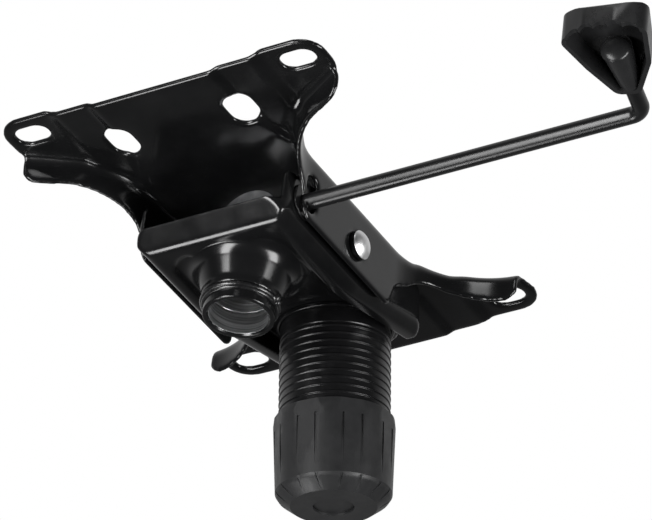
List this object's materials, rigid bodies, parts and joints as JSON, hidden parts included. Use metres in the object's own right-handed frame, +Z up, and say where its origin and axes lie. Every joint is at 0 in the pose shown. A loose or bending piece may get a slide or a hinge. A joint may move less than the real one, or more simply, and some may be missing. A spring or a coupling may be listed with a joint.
{
  "type": "office chair tilt mechanism",
  "caption": "Black steel tilt mechanism for an office chair, with slotted seat plate, gas lift socket, round tension knob and lift lever with paddle.",
  "frame": {"origin": "on the gas lift axis, at the middle of the straight mouth of the socket", "axes": "+X to the lever side, which is the chair's right; +Y forward, towards the tension knob; +Z up"},
  "size_m": [0.3392, 0.2273, 0.1225],
  "materials": {
    "black_powder_coat": "gloss",
    "turned_steel": "satin",
    "zinc_plated_steel": "satin",
    "bare_steel": "satin",
    "spring_steel": "satin",
    "black_plastic": "matte",
    "satin_black_plastic": "satin",
    "natural_plastic": "satin"
  },
  "bodies": {
    "housing": {"housing": "black_powder_coat", "socket_tube": "turned_steel", "socket_weld": "black_powder_coat", "sleeve": "black_plastic", "sleeve_ring": "black_powder_coat", "spring_seat": "zinc_plated_steel", "pivot_bushes": "black_plastic", "pivot_spacer": "zinc_plated_steel", "lever_bush": "black_plastic", "tension_spring": "spring_steel"},
    "seat": {"seat_plate": "black_powder_coat", "hanger_bracket": "black_powder_coat", "pivot_pin": "zinc_plated_steel", "pivot_washers": "black_plastic"},
    "bolt": {"tension_bolt": "zinc_plated_steel"},
    "carriage": {"spring_cup": "zinc_plated_steel", "thrust_washer": "natural_plastic"},
    "knob": {"knob": "satin_black_plastic", "knob_nut": "zinc_plated_steel", "knob_disc": "satin_black_plastic"},
    "lever": {"lever_rod": "black_powder_coat", "release_arm": "bare_steel", "release_tip": "natural_plastic", "lever_clip": "zinc_plated_steel", "paddle": "satin_black_plastic"}
  },
  "joints": [
    {"name": "tilt", "type": "hinge", "parent": "housing", "child": "seat", "pos_m": [0, 0.0233, 0.0382], "axis": [1, 0, 0], "range_deg": [0, 12], "stiffness_Nm_per_rad": 95, "springref_deg": -8.59, "deforming": ["tension_spring"]},
    {"name": "bolt_swing", "type": "hinge", "parent": "seat", "child": "bolt", "pos_m": [0, 0.07843, 0.05102], "axis": [1, 0, 0], "range_deg": [-10.8, 0]},
    {"name": "tension_travel", "type": "slide", "parent": "bolt", "child": "carriage", "axis": [0, -0.1867, 0.9824], "range_m": [0, 0.01]},
    {"name": "knob_turn", "type": "hinge", "parent": "carriage", "child": "knob", "pos_m": [0, 0.0803, 0.0412], "axis": [0, -0.1867, 0.9824], "range_deg": [0, 1800]},
    {"name": "lift", "type": "hinge", "parent": "housing", "child": "lever", "pos_m": [0.04025, -0.0189, 0.0355], "axis": [0, -1, 0], "range_deg": [0, 5]}
  ],
  "couplings": [
    {"joint": "bolt_swing", "follows": "tilt", "ratio": -0.89},
    {"joint": "knob_turn", "follows": "tension_travel", "rad_per_m": 3141.6}
  ]
}
